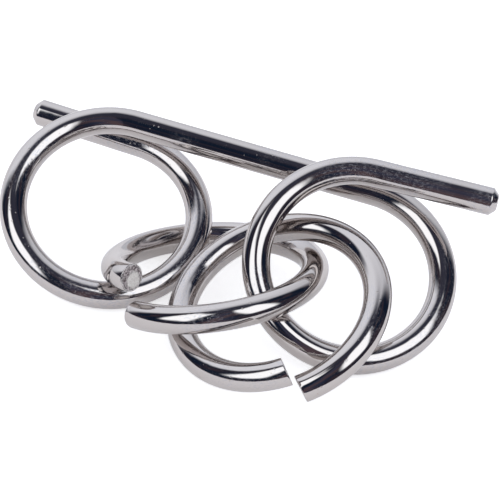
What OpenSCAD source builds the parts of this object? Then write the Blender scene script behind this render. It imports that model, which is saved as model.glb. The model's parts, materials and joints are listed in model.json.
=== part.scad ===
// Metal ring disentanglement puzzle: a double-looped bar and two linked split rings,
// all bent from one gauge of bright round wire.
// Units are millimetres, +Z is up, and the pieces lie as a loose pile on the plane z = 0.

/* [Wire] */
// wire diameter of all three pieces
wire_d = 4; // [3:0.1:4.2]
// bevel on the bar's two tips
tip_bevel = 0.9; // [0.2:0.1:1.2]

/* [Looped bar] */
// bend radius of both loops, to the middle of the wire
loop_r = 13.6; // [13:0.1:14.5]
// straight length between the two loops
middle_len = 36.3; // [34:0.1:40]
// straight tail after the left loop
left_tail = 16.8; // [10:0.1:25]
// straight tail after the right loop
right_tail = 17.6; // [10:0.1:25]
// degrees of turn in the left loop
left_turn = 357.5; // [350:0.5:362]
// degrees of turn in the right loop
right_turn = 356.5; // [350:0.5:362]
// how far the left loop climbs along its own axis in a turn
left_rise = 5.6; // [5:0.1:8]
// how far the right loop climbs along its own axis in a turn
right_rise = 7.3; // [5:0.1:8]
// degrees the two loops are out of line, seen along the bar
loop_twist = 3.7; // [0:0.1:8]

/* [Split rings] */
// radius of both rings, to the middle of the wire
ring_r = 14; // [13.5:0.1:14.5]
// offset of the flat ring's two ends along its axis
flat_rise = 5.4; // [4.4:0.1:7]
// degrees of gap between the flat ring's ends, below zero where they pass each other
flat_gap = 0; // [-10:0.5:10]
// offset of the front ring's two ends along its axis
front_rise = 4.5; // [4.4:0.1:7]
// degrees of gap between the front ring's ends
front_gap = 3; // [0:0.5:12]

/* [How the pieces lie] */
// height of the bar's middle above the table
bar_z = 14.72; // [10:0.05:20]
// distance of the bar's middle behind the centre of the pile
bar_y = 16.7; // [10:0.05:20]
// degrees the loops lean back from upright
bar_lean = 62.8; // [0:0.1:80]
// degrees the bar drops from left to right
bar_drop = 4.2; // [0:0.1:10]
// degrees the flat ring leans about X
flat_tilt = 21.8; // [0:0.1:40]
// degrees the flat ring leans about Y
flat_roll = -4.3; // [-20:0.1:20]
// bearing of the flat ring's split, seen from above
flat_turn = -130.8; // [-180:0.1:180]
// degrees the front ring leans about X
front_tilt = 22.7; // [0:0.1:40]
// degrees the front ring leans about Y
front_roll = 7.5; // [-20:0.1:20]
// bearing of the front ring's split, seen from above
front_turn = -66; // [-180:0.1:180]

/* [Hidden] */
// sideways place of each piece's middle
bar_x = -0.2;
flat_at = [-0.6, -0.3, 6.3];
front_at = [9.75, -5.4, 7.4];
// each loop is a run of equal arcs, rolled a little from one to the next so that the wire climbs
loop_arcs = 8;
ring_arcs = 7;
// every second stretch is thinner by nest and reaches lap into its neighbours,
// so that no two faces coincide
lap = 0.1;
nest = 0.05;
chrome = [0.78, 0.79, 0.82];
$fn = 64;

// one arc of wire that starts at the origin heading +Y and bends towards -X
module arc(r, a, fat) {
    extra = fat ? 0 : lap / r * 180 / PI;
    translate([-r, 0, 0])
        rotate([0, 0, -extra])
            rotate_extrude(angle = a + 2 * extra)
                translate([r, 0])
                    circle(d = fat ? wire_d : wire_d - nest);
}

// n arcs in a row, each rolled about the wire; the children go on from the far end
module wind(r, a, roll, n, i = 0) {
    arc(r, a, i % 2 == 0);
    translate([-r, 0, 0])
        rotate([0, 0, a])
            translate([r, 0, 0])
                if (i < n - 1)
                    rotate([0, roll, 0])
                        wind(r, a, roll, n, i + 1)
                            children();
                else
                    children();
}

// straight bevelled tail heading +Y
module tail(length) {
    r = wire_d / 2;
    rotate([-90, 0, 0])
        rotate_extrude()
            polygon([[0, 0], [r, 0], [r, length - tip_bevel], [r - tip_bevel, length], [0, length]]);
}

// one loop and its tail, starting at one end of the straight middle; side is -1 for left and 1 for right
module loop(side, rise, turn, tail_len) {
    a = turn / loop_arcs;
    climb = rise / (2 * PI * loop_r);
    rotate([side * loop_twist / 2, 0, 0])
        translate([side * middle_len / 2, 0, 0])
            rotate([0, -90, -90 * side])
                wind(loop_r, a, -a * climb, loop_arcs)
                    tail(tail_len);
}

module looped_bar() {
    color(chrome)
        translate([bar_x, bar_y, bar_z])
            rotate([-bar_lean, bar_drop, 0]) {
                rotate([0, 90, 0])
                    cylinder(d = wire_d - nest, h = middle_len + 2 * lap, center = true);
                loop(-1, left_rise, left_turn, left_tail);
                loop(1, right_rise, right_turn, right_tail);
            }
}

// split ring about the Z axis, its middle at the origin and its split towards +X
module split_ring(rise, gap) {
    a = (360 - gap) / ring_arcs;
    climb = rise / (2 * PI * ring_r);
    roll = a * climb;
    bend_r = ring_r * (1 + climb * climb);
    lead = tan(roll / 2) / tan(a / 2);
    rotate([0, 0, gap / 2])
        translate([ring_r, 0, -rise * (360 - gap) / 720])
            rotate([atan(lead), atan(tan(roll / 2) / sqrt(1 + lead * lead)), 0])
                wind(bend_r, a, roll, ring_arcs);
}

module flat_ring() {
    color(chrome)
        translate(flat_at)
            rotate([flat_tilt, flat_roll, flat_turn])
                split_ring(flat_rise, flat_gap);
}

module front_ring() {
    color(chrome)
        translate(front_at)
            rotate([front_tilt, front_roll, front_turn])
                split_ring(front_rise, front_gap);
}

looped_bar();
flat_ring();
front_ring();
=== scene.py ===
import json
import math
import random

import bmesh
import bpy
from mathutils import Euler, Matrix, Vector, noise


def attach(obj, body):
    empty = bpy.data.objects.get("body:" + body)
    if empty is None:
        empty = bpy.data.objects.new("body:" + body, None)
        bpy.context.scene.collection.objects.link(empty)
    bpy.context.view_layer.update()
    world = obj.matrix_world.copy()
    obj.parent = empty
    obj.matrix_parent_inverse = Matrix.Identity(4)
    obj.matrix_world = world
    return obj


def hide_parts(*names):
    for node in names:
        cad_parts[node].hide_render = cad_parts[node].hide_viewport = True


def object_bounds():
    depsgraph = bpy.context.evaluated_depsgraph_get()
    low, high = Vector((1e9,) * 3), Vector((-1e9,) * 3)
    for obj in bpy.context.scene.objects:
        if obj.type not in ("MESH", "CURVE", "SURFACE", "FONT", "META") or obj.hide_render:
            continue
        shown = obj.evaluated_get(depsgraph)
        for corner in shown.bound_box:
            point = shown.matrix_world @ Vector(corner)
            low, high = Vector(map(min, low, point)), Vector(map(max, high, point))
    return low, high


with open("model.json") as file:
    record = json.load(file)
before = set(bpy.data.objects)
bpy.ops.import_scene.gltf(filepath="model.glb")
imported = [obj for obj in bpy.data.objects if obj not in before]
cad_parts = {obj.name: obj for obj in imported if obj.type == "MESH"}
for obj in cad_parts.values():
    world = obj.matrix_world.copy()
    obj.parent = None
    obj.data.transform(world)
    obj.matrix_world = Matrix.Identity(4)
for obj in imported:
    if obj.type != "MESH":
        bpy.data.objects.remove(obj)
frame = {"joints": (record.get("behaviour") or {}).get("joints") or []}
cad_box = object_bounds()

# ---------------------------------------------------------------- driving sizes, in metres and degrees
MM = 0.001
WIRE_R = 2.0 * MM

# the looped bar: a straight middle, a loop wound at each end of it, and a straight tail after each loop
MIDDLE_LEN = 36.3 * MM
LOOP_R = 13.6 * MM
LOOP_ARCS = 8
LOOP_TWIST = 3.7
BAR_MIDDLE = Vector((-0.2, 16.7, 14.72)) * MM
BAR_LEAN = (-62.8, 4.2, 0.0)
SIDES = {
    "left": {"sign": -1, "turn": 357.5, "rise": 5.6 * MM, "tail": 16.8 * MM},
    "right": {"sign": 1, "turn": 356.5, "rise": 7.3 * MM, "tail": 17.6 * MM},
}

# the split rings: one open turn each, climbing from the first sawn end to the last
# short: what is cut off the first end; saw: the slope of the cuts; bulge: of the last stretch, outwards
RING_R = 14.0 * MM
RING_ARCS = 7
RINGS = {
    "flat_ring": {
        "rise": 5.4 * MM, "gap": 0.0, "lean": (21.8, -4.3, -130.8),
        "short": 0.3 * MM, "saw": 0.0, "bulge": 0.42 * MM,
    },
    "front_ring": {
        "rise": 4.5 * MM, "gap": 3.0, "lean": (22.7, 7.5, -66.0),
        "short": 0.0, "saw": -0.20, "bulge": 0.0,
    },
}

# the bulge is where the coil was bent shut by hand; its scale brings the top of its curve to 1
BULGE_ARC = 60
BULGE_SCALE = 27 / 4

# how each kind of end is finished: the corners of its outline as (inset, radius), the fillet at each inner
# corner, and the number of rings of faces from the last corner to the middle
TIP_BEVEL = 0.9 * MM
ENDS = {
    "bevelled": {
        "corners": [(1.3 * MM, WIRE_R), (TIP_BEVEL, WIRE_R), (0, WIRE_R - TIP_BEVEL), (0, 0.3 * MM)],
        "fillets": (0.16 * MM, 0.32 * MM),
        "rings": 7,
    },
    "sawn": {
        "corners": [(0.7 * MM, WIRE_R), (0, WIRE_R), (0, 1.2 * MM)],
        "fillets": (0.13 * MM,),
        "rings": 18,
    },
}
FILLET_STEPS = 6

# a sawn face leans and is rough: how far down the wire that reaches, where the face's material stops short
# of the rim, and the depth in mm and the fineness per mm of its torn edge and of its grain
SAW_REACH = 0.9 * MM
SAWN_RIM = 0.1 * MM
TORN_EDGE = {"depth": 0.05, "per_mm": 1.3}
SAWN_GRAIN = {"depth": 0.010, "per_mm": 4.5}

# how the drawn wire strays from a true cylinder: the height in mm of each wave, its length along the wire
# and its fineness round it; the waves fade out over the last stretch before an end
SLOW_WAVE = {"height": 0.010, "length": 7 * MM, "round": 0.7}
QUICK_WAVE = {"height": 0.0022, "length": 1.9 * MM, "round": 2.2}
WAVE_FADE = 2 * MM

# handling nicks: how many, their half width and depth in mm, their length over their width, and how many
# half lengths away a nick no longer counts
NICKS_PER_MM = 0.17
NICK_WIDTH = (0.25, 0.55)
NICK_STRETCH = (0.8, 2.2)
NICK_DEPTH = (0.006, 0.022)
NICK_REACH = 3

# how finely the wires are meshed: the step along the wire, the faces round it, and the radius above which
# a ring of the mesh counts as the wire's side and not as its end
STATION_STEP = 0.3 * MM
AROUND = 64
SIDE_R = WIRE_R * 0.999


# ---------------------------------------------------------------- the paths that the wires follow
def about(axis, degrees):
    return Matrix.Rotation(math.radians(degrees), 4, axis)


def leaning(place, degrees):
    """A frame at place, turned about X, then Y, then Z."""
    turned = Euler([math.radians(d) for d in degrees], "XYZ").to_matrix().to_4x4()
    return Matrix.Translation(place) @ turned


def steps_for(length):
    return max(2, round(length / STATION_STEP))


def climb_of(rise, radius):
    """How much a coil climbs for each unit of length round it."""
    return rise / (2 * math.pi * radius)


def straight(start, length):
    """Points along +Y of start, and the frame at the far end."""
    count = steps_for(length)
    points = [start @ Vector((0, length * i / count, 0)) for i in range(1, count + 1)]
    return points, start @ Matrix.Translation((0, length, 0))


def wind(start, radius, arc, roll, arcs):
    """Points along a run of equal arcs, and the frame at its end.

    Each arc bends towards -X, and the frame is rolled about the wire from one arc to the next."""
    points = []
    to_centre = Matrix.Translation((-radius, 0, 0))
    from_centre = Matrix.Translation((radius, 0, 0))
    count = steps_for(radius * math.radians(arc))
    for number in range(arcs):
        for i in range(1, count + 1):
            here = start @ to_centre @ about("Z", arc * i / count) @ from_centre
            points.append(here.translation)
        start = start @ to_centre @ about("Z", arc) @ from_centre
        if number < arcs - 1:
            start = start @ about("Y", roll)
    return points, start


def side_path(middle, side):
    """From one end of the straight middle, round that side's loop and out along its tail."""
    outward = side["sign"]
    start = middle @ about("X", outward * LOOP_TWIST / 2)
    start = start @ Matrix.Translation((outward * MIDDLE_LEN / 2, 0, 0))
    start = start @ about("Z", -90 * outward) @ about("Y", -90)
    arc = side["turn"] / LOOP_ARCS
    loop, end = wind(start, LOOP_R, arc, -arc * climb_of(side["rise"], LOOP_R), LOOP_ARCS)
    tail, _ = straight(end, side["tail"])
    return loop + tail


def bar_path():
    """From the tip of the left tail to the tip of the right one."""
    middle = leaning(BAR_MIDDLE, BAR_LEAN)
    left = side_path(middle, SIDES["left"])
    right = side_path(middle, SIDES["right"])
    start = middle @ Matrix.Translation((-MIDDLE_LEN / 2, 0, 0)) @ about("Z", -90)
    run, _ = straight(start, MIDDLE_LEN)
    return left[::-1] + [start.translation] + run + right


def ring_middle(name):
    """The middle of a ring, where its hinge is."""
    joint = next(j for j in frame["joints"] if j["child"] == name)
    return Vector(joint["pos_m"])


def ring_path(name):
    """From a ring's first sawn end to its last."""
    ring = RINGS[name]
    middle = ring_middle(name)
    sweep = 360 - ring["gap"]
    arc = sweep / RING_ARCS
    climb = climb_of(ring["rise"], RING_R)
    roll = arc * climb
    half_roll = math.tan(math.radians(roll / 2))
    lead = half_roll / math.tan(math.radians(arc / 2))
    level = math.degrees(math.atan(half_roll / math.sqrt(1 + lead * lead)))
    start = leaning(middle, ring["lean"]) @ about("Z", ring["gap"] / 2)
    start = start @ Matrix.Translation((RING_R, 0, -ring["rise"] / 2 * sweep / 360))
    start = start @ about("Y", level) @ about("X", math.degrees(math.atan(lead)))
    points, _ = wind(start, RING_R * (1 + climb * climb), arc, roll, RING_ARCS)
    points = ([start.translation] + points)[round(ring["short"] / STATION_STEP):]
    bent = round(len(points) * BULGE_ARC / sweep)
    for i in range(bent):
        share = (i + 1) / bent
        outward = (points[i - bent] - middle).normalized()
        curve = BULGE_SCALE * share * share * (1 - share)
        points[i - bent] = points[i - bent] + outward * ring["bulge"] * curve
    return points


# ---------------------------------------------------------------- from a path to a wire
class Wire:
    """A path, its length so far at each point, and a section frame carried along it without twist."""

    def __init__(self, points):
        self.points = points
        self.along = [0.0]
        for a, b in zip(points, points[1:]):
            self.along.append(self.along[-1] + (b - a).length)
        self.length = self.along[-1]
        first, last = points[0], points[-1]
        before = [2 * first - points[1]] + points[:-1]
        after = points[1:] + [2 * last - points[-2]]
        self.tangents = [(b - a).normalized() for a, b in zip(before, after)]
        self.normals = [self.tangents[0].orthogonal().normalized()]
        for a, b in zip(self.tangents, self.tangents[1:]):
            carried = a.rotation_difference(b) @ self.normals[-1]
            self.normals.append((carried - b * carried.dot(b)).normalized())

    def at(self, distance):
        """The centre, the heading and the two section axes at a distance along the wire."""
        low, high = 0, len(self.along) - 1
        while high - low > 1:
            middle = (low + high) // 2
            if self.along[middle] <= distance:
                low = middle
            else:
                high = middle
        part = (distance - self.along[low]) / (self.along[high] - self.along[low])
        centre = self.points[low].lerp(self.points[high], part)
        heading = self.tangents[low].lerp(self.tangents[high], part).normalized()
        normal = self.normals[low].lerp(self.normals[high], part)
        normal = (normal - heading * normal.dot(heading)).normalized()
        return centre, heading, normal, heading.cross(normal)


def saw_tilt(name, wire, last):
    """How the cut at one end leans, as a slope across the wire: the saw is in line with the ring's axis."""
    ring = RINGS[name]
    axis = leaning(Vector(), ring["lean"]).to_3x3() @ Vector((0, 0, 1))
    place = -1 if last else 0
    heading = wire.tangents[place]
    outward = wire.points[place] - ring_middle(name)
    outward = (outward - axis * outward.dot(axis)).normalized()
    tilt = outward * ring["saw"] - axis * climb_of(ring["rise"], RING_R)
    return tilt - heading * tilt.dot(heading)


def end_outline(kind):
    """(inset, radius) from the full wire to the middle of its end face, with the corners rounded off."""
    end = ENDS[kind]
    corners = [Vector(c) for c in end["corners"]]
    outline = [corners[0]]
    for before, corner, after, fillet in zip(corners, corners[1:], corners[2:], end["fillets"]):
        start = corner + (before - corner).normalized() * fillet
        finish = corner + (after - corner).normalized() * fillet
        for i in range(FILLET_STEPS + 1):
            t = i / FILLET_STEPS
            outline.append(start * (1 - t) ** 2 + corner * 2 * t * (1 - t) + finish * t * t)
    inset, rim = outline[-1]
    rings = end["rings"]
    return outline + [Vector((inset, rim * (1 - i / rings))) for i in range(1, rings)]


def section_rows(wire, kind):
    """(distance, radius) of each ring of the mesh, from the middle of one end face to the other's."""
    outline = end_outline(kind)
    head = [(p.x, p.y) for p in reversed(outline)]
    tail = [(wire.length - p.x, p.y) for p in outline]
    first, last = head[-1][0], tail[0][0]
    count = steps_for(last - first)
    body = [(first + (last - first) * i / count, WIRE_R) for i in range(1, count)]
    return head + body + tail


def nicks_along(wire, seed):
    """Dents scattered along a wire: (distance, angle, half length, half width, depth)."""
    draw = random.Random(seed)
    nicks = []
    for _ in range(round(wire.length / MM * NICKS_PER_MM)):
        distance = draw.uniform(0, wire.length)
        angle = draw.uniform(0, 2 * math.pi)
        half_width = draw.uniform(*NICK_WIDTH) * MM
        half_length = half_width * draw.uniform(*NICK_STRETCH)
        nicks.append((distance, angle, half_length, half_width, draw.uniform(*NICK_DEPTH) * MM))
    return nicks


def nick_depth(nicks, distance, angle):
    depth = 0.0
    for where, bearing, half_length, half_width, deep in nicks:
        along = (distance - where) / half_length
        if abs(along) > NICK_REACH:
            continue
        around = (angle - bearing + math.pi) % (2 * math.pi) - math.pi
        depth += deep * math.exp(-along * along - (around * WIRE_R / half_width) ** 2)
    return depth


def waviness(seed, distance, angle):
    """How far the drawn wire stands off a true cylinder here."""
    x, z = math.cos(angle), math.sin(angle)
    fine = SLOW_WAVE["round"]
    slow = noise.noise(Vector((x * fine, distance / SLOW_WAVE["length"], z * fine + seed)))
    fine = QUICK_WAVE["round"]
    quick = noise.noise(Vector((x * fine + seed, distance / QUICK_WAVE["length"], z * fine)))
    return (SLOW_WAVE["height"] * slow + QUICK_WAVE["height"] * quick) * MM


def sawn_push(seed, radius, angle):
    """How far the sawn face is sunk in here: torn away in places at its edge, and grainy all over."""
    x, z = radius * math.cos(angle) / MM, radius * math.sin(angle) / MM
    fine = TORN_EDGE["per_mm"]
    torn = max(0.0, noise.noise(Vector((x * fine, z * fine, seed)))) * (radius / WIRE_R) ** 4
    fine = SAWN_GRAIN["per_mm"]
    rough = noise.noise(Vector((x * fine, z * fine, seed + 7)))
    return (TORN_EDGE["depth"] * torn + SAWN_GRAIN["depth"] * rough) * MM


def build_wire(node, path, ends, seed, materials):
    """A closed mesh swept along the path, in the wire's material and, at sawn ends, that of the cut face.

    The vertex attribute "straight" holds where each point is on the wire drawn out straight along Y."""
    wire = Wire(path)
    nicks = nicks_along(wire, seed)
    sawn = ends == "sawn"
    tilts = [saw_tilt(node, wire, last) if sawn else Vector() for last in (False, True)]
    build = bmesh.new()
    layer = build.verts.layers.float_vector.new("straight")
    rings = []
    for distance, radius in section_rows(wire, ends):
        centre, heading, across, up = wire.at(distance)
        near_start = distance < wire.length / 2
        inward = heading if near_start else -heading
        from_end = min(distance, wire.length - distance)
        ring = []
        for i in range(AROUND):
            angle = 2 * math.pi * i / AROUND
            radial = across * math.cos(angle) + up * math.sin(angle)
            reach = radius
            push = 0.0
            if sawn and from_end < SAW_REACH:
                lean = radial.dot(tilts[0]) * -radius if near_start else radial.dot(tilts[1]) * radius
                push = (sawn_push(seed + near_start, radius, angle) + lean) * (1 - from_end / SAW_REACH)
            if radius > SIDE_R:
                reach += waviness(seed, distance, angle) * min(1, from_end / WAVE_FADE)
                reach -= nick_depth(nicks, distance, angle)
            vert = build.verts.new(centre + radial * reach + inward * push)
            vert[layer] = Vector((radius * math.cos(angle), distance, radius * math.sin(angle)))
            ring.append(vert)
        rings.append((ring, radius))

    for (low, low_r), (high, high_r) in zip(rings, rings[1:]):
        cut = sawn and min(low_r, high_r) < WIRE_R - SAWN_RIM
        for i in range(AROUND):
            j = (i + 1) % AROUND
            face = build.faces.new((low[i], low[j], high[j], high[i]))
            face.smooth = True
            face.material_index = 1 if cut else 0
    for ring, flip in ((rings[0][0], True), (rings[-1][0], False)):
        middle = build.verts.new(sum((v.co for v in ring), Vector()) / AROUND)
        middle[layer] = sum((v[layer] for v in ring), Vector()) / AROUND
        for i in range(AROUND):
            j = (i + 1) % AROUND
            corners = (ring[j], ring[i], middle) if flip else (ring[i], ring[j], middle)
            face = build.faces.new(corners)
            face.smooth = True
            face.material_index = 1 if sawn else 0
    bmesh.ops.recalc_face_normals(build, faces=build.faces)

    name = node + "_wire"
    mesh = bpy.data.meshes.new(name)
    build.to_mesh(mesh)
    build.free()
    for material in materials:
        mesh.materials.append(material)
    piece = bpy.data.objects.new(name, mesh)
    bpy.context.scene.collection.objects.link(piece)
    return piece


# ---------------------------------------------------------------- node helpers
def add(tree, kind, inputs=None, **settings):
    """A new node, with its settings and with values or links for its inputs."""
    made = tree.nodes.new(kind)
    for name, value in settings.items():
        setattr(made, name, value)
    for name, value in (inputs or {}).items():
        socket = made.inputs[name]
        if isinstance(value, bpy.types.NodeSocket):
            tree.links.new(value, socket)
        else:
            socket.default_value = value
    return made


def maths(tree, operation, a, b=0.0, c=0.0):
    return add(tree, "ShaderNodeMath", {0: a, 1: b, 2: c}, operation=operation).outputs[0]


def times(tree, first, *others):
    """The product of several values."""
    for other in others:
        first = maths(tree, "MULTIPLY", first, other)
    return first


def scaled_onto(tree, value, scale, base):
    """base plus value times scale."""
    return maths(tree, "MULTIPLY_ADD", value, scale, base)


def ramped(tree, value, low, high, start=0.0, end=1.0):
    """value eased from low to high onto start to end."""
    inputs = {"Value": value, "From Min": low, "From Max": high, "To Min": start, "To Max": end}
    return add(tree, "ShaderNodeMapRange", inputs, interpolation_type="SMOOTHSTEP").outputs["Result"]


def length_of(tree, vector):
    return add(tree, "ShaderNodeVectorMath", {0: vector}, operation="LENGTH").outputs["Value"]


def blended(tree, factor, first, second):
    """The colour between first and second at factor, which may pass 1; either may be a plain colour."""
    mix = add(tree, "ShaderNodeMix", data_type="RGBA", clamp_factor=False)
    tree.links.new(factor, mix.inputs["Factor"])
    for number, colour in ((6, first), (7, second)):
        if isinstance(colour, bpy.types.NodeSocket):
            tree.links.new(colour, mix.inputs[number])
        else:
            mix.inputs[number].default_value = (*colour, 1)
    return mix.outputs[2]


def mapped(tree, place, scale=(1, 1, 1), turn=(0, 0, 0), shift=(0, 0, 0)):
    """Coordinates scaled, then turned, then shifted."""
    inputs = {"Vector": place, "Scale": scale, "Rotation": turn, "Location": shift}
    return add(tree, "ShaderNodeMapping", inputs).outputs[0]


def grain(tree, place, scale, detail, stretch=(1, 1, 1), turn=(0, 0, 0), shift=(0, 0, 0)):
    """Noise in 0 to 1 with scale features per mm, stretched, turned and shifted."""
    inputs = {"Vector": mapped(tree, place, stretch, turn, shift), "Scale": scale, "Detail": detail}
    return add(tree, "ShaderNodeTexNoise", inputs).outputs["Fac"]


def cells(tree, place, scale):
    """Scattered cells: the distance to the nearest middle, and a random number for each cell."""
    inputs = {"Vector": place, "Scale": scale, "Randomness": 1.0}
    found = add(tree, "ShaderNodeTexVoronoi", inputs, feature="F1").outputs
    pick = add(tree, "ShaderNodeSeparateColor", {0: found["Color"]}).outputs[0]
    return found["Distance"], pick


def rubs(tree, place, turn, shift, apart, length, width, share):
    """Soft straight rub marks, sized in mm: one in each chosen cell of a stretched grid."""
    stretch = (1 / (apart * width), 1 / (apart * length), 1 / (apart * width))
    distance, pick = cells(tree, mapped(tree, place, stretch, turn, shift), 1.0)
    inside = ramped(tree, distance, RUB_CORE, 0.5 / apart, 1.0, 0.0)
    return times(tree, inside, maths(tree, "LESS_THAN", pick, share))


def bumped(tree, shader, height, distance):
    bump = add(tree, "ShaderNodeBump", {"Height": height, "Strength": 1.0, "Distance": distance})
    tree.links.new(bump.outputs[0], shader.inputs["Normal"])


def new_material(name):
    """An empty node material: its tree, its shader, and the place on the straightened wire in mm."""
    material = bpy.data.materials.new(name)
    material.use_nodes = True
    tree = material.node_tree
    shader = tree.nodes["Principled BSDF"]
    place = add(tree, "ShaderNodeAttribute", attribute_name="straight").outputs["Vector"]
    return material, tree, shader, mapped(tree, place, (1 / MM, 1 / MM, 1 / MM))


# ---------------------------------------------------------------- materials
# bright nickel-chrome plate: its colour, the painted bluish sheen that haze mixes into it, what haze takes
# off its gloss as metal, and how a pit dulls it
PLATE = (0.550, 0.506, 0.487)
HAZE_BLUE_SHEEN = (0.45, 0.52, 0.70)
HAZE_SHEEN_MIX = 0.22
HAZE_METAL_LOSS = 0.16
PIT_DULL = (0.94, 0.91, 0.88)

# the ramps that cut patches out of noise: where each patch starts and where it is full
HANDLED = (0.44, 0.62)
STREAKY = (0.45, 0.68)
SCUFFED = (0.48, 0.60)
# how far a rub mark is at full strength, in its own cell
RUB_CORE = 0.05
# pits: cells per mm, a pit's edge in its cell, and the clusters' ramp, from how rare pits are outside them
# to how rare they are inside
PIT_CELLS = 1.9
PIT_EDGE = (0.08, 0.34, 1.0, 0.0)
PIT_CLUSTERS = (0.48, 0.66, 0.99, 0.78)

# heights are shares of one bump distance, and each kind of wear adds its roughness to the polish
PLATE_BUMP = 0.012 * MM
POLISH = 0.07
DRAW_LINE_HEIGHT = 0.05
PEEL_HEIGHT = 0.9
WEAR = {
    "haze": {"height": 0.03, "rough": 0.14},
    "scratch": {"height": -0.16, "rough": 0.14},
    "pit": {"height": -0.45, "rough": 0.25},
}

# the bare steel of a sawn end: dark and light grain where it is torn and where the saw has smeared it, its
# bright burr, which is also a painted highlight on the rim, and the ramp that cuts the grain into specks
TORN_STEEL = ((0.16, 0.13, 0.135), (0.82, 0.74, 0.76))
SMEARED_STEEL = ((0.86, 0.82, 0.79), (1.0, 0.98, 0.95))
BURR_AND_HIGHLIGHT = (1.0, 0.98, 0.97)
SPECKED = (0.40, 0.62)
# the smeared patch, in mm across the section: its middle, where it fades out, how ragged its edge is, and
# how much it smooths the face
SMEAR_AT = (-0.03, -0.50)
SMEAR_EDGE = (1.40, 1.90, 1.0, 0.0)
SMEAR_RAGGED = 0.9
SMEAR_SMOOTHS = 0.8
# the burr, whose bright colour is also a painted highlight on the rim: where it lies from the middle in mm,
# and which stretches of the rim have it
BURR_HIGHLIGHT_RIM = (1.74, 1.86)
BURR_HIGHLIGHT_STRETCHES = (0.35, 0.5)
SAWN_BUMP = 0.10 * MM
SAW_LINE_HEIGHT = 0.3
SAWN_ROUGH = 0.36
SPECK_ROUGH = 0.2
SAWN_METAL = 0.3


def plated_wire(name, shift):
    """Bright plate over drawn wire: draw lines, soft peel, rub marks, clustered pits and streaky haze with
    a painted bluish sheen.
    """
    material, tree, shader, place = new_material(name)
    handled = grain(tree, place, scale=0.12, detail=3.0, stretch=(1, 0.7, 1), shift=shift)
    streaks = grain(
        tree, place, scale=1.0, detail=3.0, stretch=(7, 2, 7), turn=(0.1, 0, 0.2), shift=shift
    )
    haze = times(tree, ramped(tree, handled, *HANDLED), ramped(tree, streaks, *STREAKY))
    draw_lines = grain(tree, place, scale=1.0, detail=3.0, stretch=(9, 0.12, 9), shift=shift)
    peel = grain(tree, place, scale=0.5, detail=1.0, shift=shift)

    scuffed = ramped(tree, grain(tree, place, scale=0.2, detail=2.0, shift=shift), *SCUFFED)
    along = rubs(tree, place, (0.05, 0.0, 0.12), shift, apart=2.6, length=1.1, width=0.7, share=0.5)
    across = rubs(tree, place, (0.3, 0.2, 1.0), shift, apart=3.4, length=0.8, width=0.6, share=0.4)
    scratch = times(tree, maths(tree, "MAXIMUM", along, across), scuffed)

    distance, pick = cells(tree, place, PIT_CELLS)
    clusters = grain(
        tree, place, scale=0.2, detail=2.0, stretch=(1, 0.8, 1), turn=(1, 0, 0), shift=shift
    )
    chosen = maths(tree, "GREATER_THAN", pick, ramped(tree, clusters, *PIT_CLUSTERS))
    pit = times(tree, ramped(tree, distance, *PIT_EDGE), chosen)

    height = scaled_onto(tree, draw_lines, DRAW_LINE_HEIGHT, times(tree, peel, PEEL_HEIGHT))
    rough = POLISH
    for kind, worn in (("haze", haze), ("scratch", scratch), ("pit", pit)):
        height = scaled_onto(tree, worn, WEAR[kind]["height"], height)
        rough = scaled_onto(tree, worn, WEAR[kind]["rough"], rough)
    bumped(tree, shader, height, PLATE_BUMP)
    tree.links.new(rough, shader.inputs["Roughness"])

    dull = [c * f for c, f in zip(PLATE, PIT_DULL)]
    # haze is smudged plate, and its blue tint is a painted sheen: the bluish light that the smudges would
    # scatter
    hazy_sheen = blended(tree, times(tree, haze, HAZE_SHEEN_MIX), PLATE, HAZE_BLUE_SHEEN)
    tree.links.new(blended(tree, pit, hazy_sheen, dull), shader.inputs["Base Color"])
    tree.links.new(scaled_onto(tree, haze, -HAZE_METAL_LOSS, 1.0), shader.inputs["Metallic"])
    return material


def sawn_face(name, shift):
    """The bare steel of a sawn end: torn dark and light grain, a patch smeared by the saw, and a burr
    painted bright as a highlight on the rim.
    """
    material, tree, shader, place = new_material(name)
    flat = mapped(tree, place, (1, 0, 1))
    torn = grain(tree, place, scale=3.0, detail=3.0, shift=shift)
    speck = ramped(tree, grain(tree, place, scale=6.0, detail=1.0, shift=shift), *SPECKED)
    lines = grain(
        tree, place, scale=1.6, detail=2.0, stretch=(0.3, 1, 5), turn=(0, 0.85, 0), shift=shift
    )

    away = length_of(tree, mapped(tree, flat, shift=(-SMEAR_AT[0], 0, -SMEAR_AT[1])))
    smeared = ramped(tree, scaled_onto(tree, torn, SMEAR_RAGGED, away), *SMEAR_EDGE)
    # the bright rim: a burr, painted near white as the highlight that the rim's rounding catches
    rim = ramped(tree, length_of(tree, flat), *BURR_HIGHLIGHT_RIM)
    burr_and_highlight = times(tree, rim, ramped(tree, torn, *BURR_HIGHLIGHT_STRETCHES))

    unsmeared = scaled_onto(tree, smeared, -SMEAR_SMOOTHS, 1.0)
    height = times(tree, maths(tree, "ADD", speck, torn), unsmeared)
    bumped(tree, shader, scaled_onto(tree, lines, SAW_LINE_HEIGHT, height), SAWN_BUMP)
    tree.links.new(scaled_onto(tree, speck, SPECK_ROUGH, SAWN_ROUGH), shader.inputs["Roughness"])

    torn_steel = blended(tree, speck, *TORN_STEEL)
    smeared_steel = blended(tree, speck, *SMEARED_STEEL)
    steel = blended(tree, smeared, torn_steel, smeared_steel)
    # the rim's near-white colour is a painted highlight as well as the burr
    tree.links.new(blended(tree, burr_and_highlight, steel, BURR_AND_HIGHLIGHT), shader.inputs["Base Color"])
    shader.inputs["Metallic"].default_value = SAWN_METAL
    return material


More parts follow.
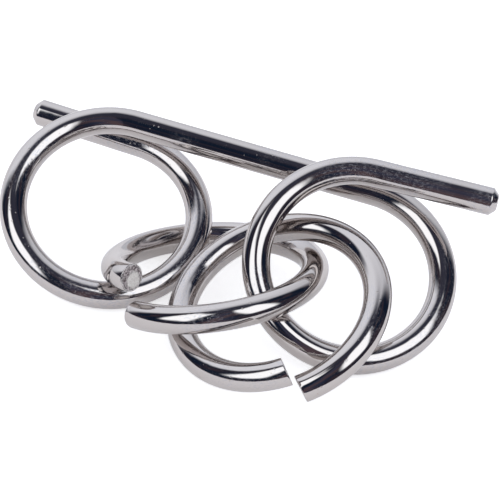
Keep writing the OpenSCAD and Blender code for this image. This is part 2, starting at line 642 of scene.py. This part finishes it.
# ---------------------------------------------------------------- the three pieces of wire
# seed sets a piece's nicks and waves, and shift where its wear falls
PIECES = {
    "looped_bar": {
        "body": "bar", "slot": "bar_wire",
        "ends": "bevelled", "seed": 3, "shift": (28.1, -7.8, 10.9),
    },
    "flat_ring": {
        "body": "flat_ring", "slot": "flat_ring_wire",
        "ends": "sawn", "seed": 11, "shift": (41, 14, 0),
    },
    "front_ring": {
        "body": "front_ring", "slot": "front_ring_wire",
        "ends": "sawn", "seed": 24, "shift": (89, 31, 0),
    },
}
for node, facts in PIECES.items():
    skin = [plated_wire(node + "_plate", facts["shift"])]
    if facts["ends"] == "sawn":
        skin.append(sawn_face(node + "_cut", facts["shift"]))
    path = bar_path() if node == "looped_bar" else ring_path(node)
    piece = build_wire(node, path, facts["ends"], facts["seed"], skin)
    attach(piece, facts["body"])
    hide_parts(node)


# ---------------------------------------------------------------- studio
# directions are in degrees: azimuth from +Y towards +X, and elevation up from level; a ramp is where it
# starts and where it ends, and then, if they aren't 0 and 1, its values there

# white paper: its radius over the object's size, its colour, its glow and the light from above on it, and
# how much brighter the camera sees it, as in an overexposed picture
PAPER_REACH = 2.6
PAPER = (0.86, 0.865, 0.895)
PAPER_ROUGH = 0.9
PAPER_GLOW = 0.21
SKYLIGHT = (0.80, 0.80, 0.82)
OVEREXPOSED = 0.40

# the backdrop: its colour, and the azimuth of its left side as a ramp over elevation, with its soft edge
BACKDROP = (0.988, 1.049, 1.152)
BACKDROP_LEFT = (20, 60, -81.5, -88.0)
BACKDROP_SOFT = 8.0
# ramps of its light: its right side, its top, dimmer near the floor, dimmer high up, and brighter the
# closer a direction is to the brightest one, by the cosine between them
BACKDROP_RIGHT = (30, 54, 1.0, 0.0)
BACKDROP_TOP = (66, 82, 1.0, 0.0)
BACKDROP_LOW = (-2, 24, 0.86, 1.0)
BACKDROP_HIGH = (50, 76, 1.0, 0.72)
BACKDROP_BRIGHTEST = (-60, 42)
BACKDROP_FALL = (0.4, 1.0, 0.84, 1.13)

# each soft box: its sides as (azimuth, lean per degree of elevation above the middle), its bottom and top,
# and its soft edge
LEFT_BOX = {"sides": ((-159, 0.0), (-114, 0.3)), "bottom": 18, "top": 64, "edge": 5}
RIGHT_BOX = {"sides": ((98, -0.1), (145, 0.5)), "bottom": 23, "top": 73, "edge": 5}
BOX_MIDDLE = 45
BOX_LIGHT = (1.76, 1.87, 1.97)

# the dark room in its two patchy colours, the same on the side where more light spills, and overhead, with
# the ramps that part them
ROOM = ((0.009, 0.018, 0.042), (0.046, 0.037, 0.054))
ROOM_PATCHES = (0.40, 0.62)
LIT_SIDE = ((0.048, 0.056, 0.100), (0.120, 0.085, 0.100))
LIT_SIDE_FROM = (140, 168)
LIT_SIDE_TOP = (60, 80, 1.0, 0.0)
OVERHEAD = (0.046, 0.050, 0.080)
OVERHEAD_FROM = (55, 80)

# the camera: where it stands seen from what it aims at, its tilt about the line of sight, and its lens
CAMERA_AIM = Vector((3.67, 1.04, 10.37)) * MM
CAMERA_AZIMUTH = 180 - 11.96
CAMERA_ELEVATION = 38.69
CAMERA_DISTANCE = 282.4 * MM
CAMERA_TILT = 5.49
CAMERA_LENS = 143.6
CAMERA_SENSOR = 36


def bearing(azimuth, elevation):
    """The unit vector in a direction."""
    a, e = math.radians(azimuth), math.radians(elevation)
    return Vector((math.sin(a) * math.cos(e), math.cos(a) * math.cos(e), math.sin(e)))


def lay_floor():
    """Plain white paper under the object."""
    low, high = cad_box
    middle = (low + high) / 2
    mesh = bpy.data.meshes.new("floor")
    build = bmesh.new()
    radius = PAPER_REACH * (high - low).length
    bmesh.ops.create_circle(build, cap_ends=True, segments=96, radius=radius)
    build.to_mesh(mesh)
    build.free()
    floor = bpy.data.objects.new("floor", mesh)
    floor.location = (middle.x, middle.y, low.z)
    bpy.context.scene.collection.objects.link(floor)
    material = bpy.data.materials.new("white_paper")
    material.use_nodes = True
    tree = material.node_tree
    shader = tree.nodes["Principled BSDF"]
    shader.inputs["Base Color"].default_value = (*PAPER, 1)
    shader.inputs["Roughness"].default_value = PAPER_ROUGH
    shader.inputs["Specular IOR Level"].default_value = 0.0
    shader.inputs["Emission Color"].default_value = (1, 1, 1, 1)
    seen = add(tree, "ShaderNodeLightPath").outputs["Is Camera Ray"]
    tree.links.new(scaled_onto(tree, seen, OVEREXPOSED, PAPER_GLOW), shader.inputs["Emission Strength"])
    mesh.materials.append(material)


def soft_box(tree, turn, rise, box):
    """How far a direction lies inside a soft box, from 0 to 1."""
    edge, bottom, top = box["edge"], box["bottom"], box["top"]
    above = maths(tree, "SUBTRACT", rise, BOX_MIDDLE)
    left, right = [scaled_onto(tree, above, lean, azimuth) for azimuth, lean in box["sides"]]
    return times(
        tree,
        ramped(tree, rise, bottom - edge, bottom + edge),
        ramped(tree, rise, top - edge, top + edge, 1.0, 0.0),
        ramped(tree, maths(tree, "SUBTRACT", turn, left), -edge, edge),
        ramped(tree, maths(tree, "SUBTRACT", right, turn), -edge, edge),
    )


def backdrop(tree, toward, turn, rise):
    """How bright the backdrop is in a direction: brightest in one place, dimmer low down and high up."""
    from_left = maths(tree, "SUBTRACT", turn, ramped(tree, rise, *BACKDROP_LEFT))
    brightest = bearing(*BACKDROP_BRIGHTEST)
    near = add(tree, "ShaderNodeVectorMath", {0: toward, 1: brightest}, operation="DOT_PRODUCT")
    return times(
        tree,
        ramped(tree, near.outputs["Value"], *BACKDROP_FALL),
        ramped(tree, rise, *BACKDROP_LOW),
        ramped(tree, rise, *BACKDROP_HIGH),
        ramped(tree, from_left, -BACKDROP_SOFT, BACKDROP_SOFT),
        ramped(tree, turn, *BACKDROP_RIGHT),
        ramped(tree, rise, *BACKDROP_TOP),
    )


def dark_room(tree, toward, turn, rise):
    """The colour of the room round the backdrop and the boxes."""
    clouds = {"Vector": toward, "Scale": 3.5, "Detail": 2.0}
    patches = add(tree, "ShaderNodeTexNoise", clouds).outputs["Fac"]
    patches = ramped(tree, patches, *ROOM_PATCHES)
    lit = times(tree, ramped(tree, turn, *LIT_SIDE_FROM), ramped(tree, rise, *LIT_SIDE_TOP))
    room = blended(tree, lit, blended(tree, patches, *ROOM), blended(tree, patches, *LIT_SIDE))
    return blended(tree, ramped(tree, rise, *OVERHEAD_FROM), room, OVERHEAD)


def paint_room():
    """The room that the plate mirrors: a pale backdrop, two soft boxes, and dark elsewhere.

    The paper gets an even skylight, and the camera sees plain white past the paper's edge."""
    world = bpy.data.worlds.new("studio")
    world.use_nodes = True
    tree = world.node_tree
    toward = add(tree, "ShaderNodeTexCoord").outputs["Generated"]
    across, behind, up = add(tree, "ShaderNodeSeparateXYZ", {0: toward}).outputs
    turn = times(tree, maths(tree, "ARCTAN2", across, behind), math.degrees(1))
    rise = times(tree, maths(tree, "ARCSINE", up), math.degrees(1))
    dark = dark_room(tree, toward, turn, rise)
    room = blended(tree, backdrop(tree, toward, turn, rise), dark, BACKDROP)
    for box in (LEFT_BOX, RIGHT_BOX):
        room = blended(tree, soft_box(tree, turn, rise, box), room, BOX_LIGHT)
    rays = add(tree, "ShaderNodeLightPath").outputs
    lit = blended(tree, rays["Is Diffuse Ray"], room, SKYLIGHT)
    shown = blended(tree, rays["Is Camera Ray"], lit, (1, 1, 1))
    tree.links.new(shown, tree.nodes["Background"].inputs["Color"])
    bpy.context.scene.world = world


def set_camera():
    """The photograph's view."""
    data = bpy.data.cameras.new("camera")
    data.lens = CAMERA_LENS
    data.sensor_width = CAMERA_SENSOR
    data.clip_start = 0.01
    camera = bpy.data.objects.new("camera", data)
    away = bearing(CAMERA_AZIMUTH, CAMERA_ELEVATION)
    camera.location = CAMERA_AIM + away * CAMERA_DISTANCE
    facing = away.to_track_quat("Z", "Y").to_matrix().to_4x4() @ about("Z", CAMERA_TILT)
    camera.rotation_euler = facing.to_euler()
    bpy.context.scene.collection.objects.link(camera)
    bpy.context.scene.camera = camera


lay_floor()
paint_room()
set_camera()
bpy.context.scene.view_settings.view_transform = "Standard"
